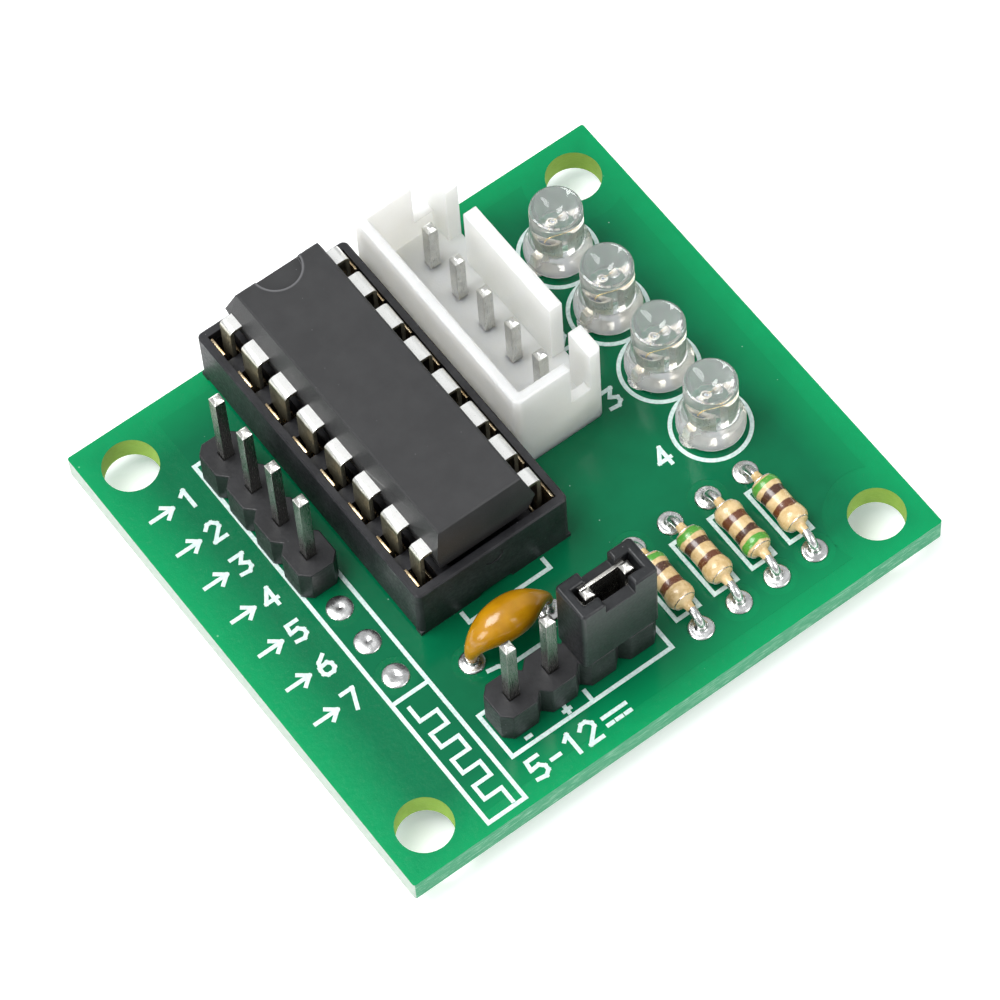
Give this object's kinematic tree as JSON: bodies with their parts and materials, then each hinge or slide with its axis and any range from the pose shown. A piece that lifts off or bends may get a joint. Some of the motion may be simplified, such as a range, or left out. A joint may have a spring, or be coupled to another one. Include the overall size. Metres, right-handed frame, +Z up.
{
  "type": "stepper driver module",
  "caption": "Small green circuit board that drives a stepper motor: socketed driver chip, keyed motor connector, pin headers with a jumper, indicator LEDs, resistors and a capacitor",
  "frame": {"origin": "under the centre of the board, on the plane that the trimmed leads stand on", "axes": "+X along the board's long side, from the input header towards the LEDs; +Y towards the edge beside the chip socket's notched end; +Z up, out of the component side"},
  "size_m": [0.035, 0.032, 0.0116],
  "materials": {
    "board_green": "glass-epoxy laminate under glossy green solder mask",
    "tinned_copper": "tinned copper pads and hole walls",
    "legend_white": "bluish white screen-printed epoxy ink",
    "tinned_pins": "bright tin plate over brass",
    "black_nylon": "black moulded nylon, satin",
    "socket_black": "black moulded polyester, satin",
    "bronze_contacts": "tinned phosphor bronze, bare at the sheared edges",
    "ivory_nylon": "natural ivory nylon, slightly translucent",
    "clear_epoxy": "water-clear cast epoxy",
    "silvered_steel": "silver-plated steel lead frame",
    "tan_lacquer": "tan lacquer with painted colour bands",
    "ceramic": "fired ceramic",
    "tinned_wire": "tinned copper-clad wire",
    "semiconductor": "polished semiconductor",
    "gold_wire": "fine gold wire",
    "ochre_epoxy": "orange-yellow dipped epoxy, glossy",
    "solder": "bright solder, slightly grainy",
    "jumper_black": "black moulded polyester",
    "spring_bronze": "tinned spring bronze",
    "chip_epoxy": "black-grey moulding compound, fine satin",
    "tinned_leads": "bright tin over copper alloy"
  },
  "bodies": {
    "board": {"circuit_board": "board_green", "plated_holes": "tinned_copper", "legend_ink": "legend_white", "input_pins": "tinned_pins", "input_header": "black_nylon", "power_pins": "tinned_pins", "power_header": "black_nylon", "socket_frame": "socket_black", "socket_contacts": "bronze_contacts", "motor_housing": "ivory_nylon", "motor_pins": "tinned_pins", "led_1_lens": "clear_epoxy", "led_1_anode": "silvered_steel", "led_1_cathode": "silvered_steel", "resistor_1_coating": "tan_lacquer", "resistor_1_core": "ceramic", "resistor_1_leads": "tinned_wire", "led_2_lens": "clear_epoxy", "led_2_anode": "silvered_steel", "led_2_cathode": "silvered_steel", "resistor_2_coating": "tan_lacquer", "resistor_2_core": "ceramic", "resistor_2_leads": "tinned_wire", "led_3_lens": "clear_epoxy", "led_3_anode": "silvered_steel", "led_3_cathode": "silvered_steel", "resistor_3_coating": "tan_lacquer", "resistor_3_core": "ceramic", "resistor_3_leads": "tinned_wire", "led_4_lens": "clear_epoxy", "led_4_anode": "silvered_steel", "led_4_cathode": "silvered_steel", "resistor_4_coating": "tan_lacquer", "resistor_4_core": "ceramic", "resistor_4_leads": "tinned_wire", "led_chips": "semiconductor", "led_bond_wires": "gold_wire", "capacitor_coating": "ochre_epoxy", "capacitor_ceramic": "ceramic", "capacitor_leads": "tinned_wire", "solder_socket": "solder", "solder_motor": "solder", "solder_input": "solder", "solder_input_spare": "solder", "solder_power": "solder", "solder_leds": "solder", "solder_resistors": "solder", "solder_capacitor": "solder"},
    "jumper": {"jumper_cap": "jumper_black", "jumper_clip": "spring_bronze"},
    "driver_chip": {"chip_body": "chip_epoxy", "chip_leads": "tinned_leads", "chip_die_pad": "tinned_leads", "chip_die": "semiconductor", "chip_bond_wires": "gold_wire"}
  },
  "joints": [
    {"name": "jumper_lift", "type": "slide", "parent": "board", "child": "jumper", "axis": [0, 0, 1], "range_m": [0, 0.008]},
    {"name": "chip_lift", "type": "slide", "parent": "board", "child": "driver_chip", "axis": [0, 0, 1], "range_m": [0, 0.006]}
  ]
}
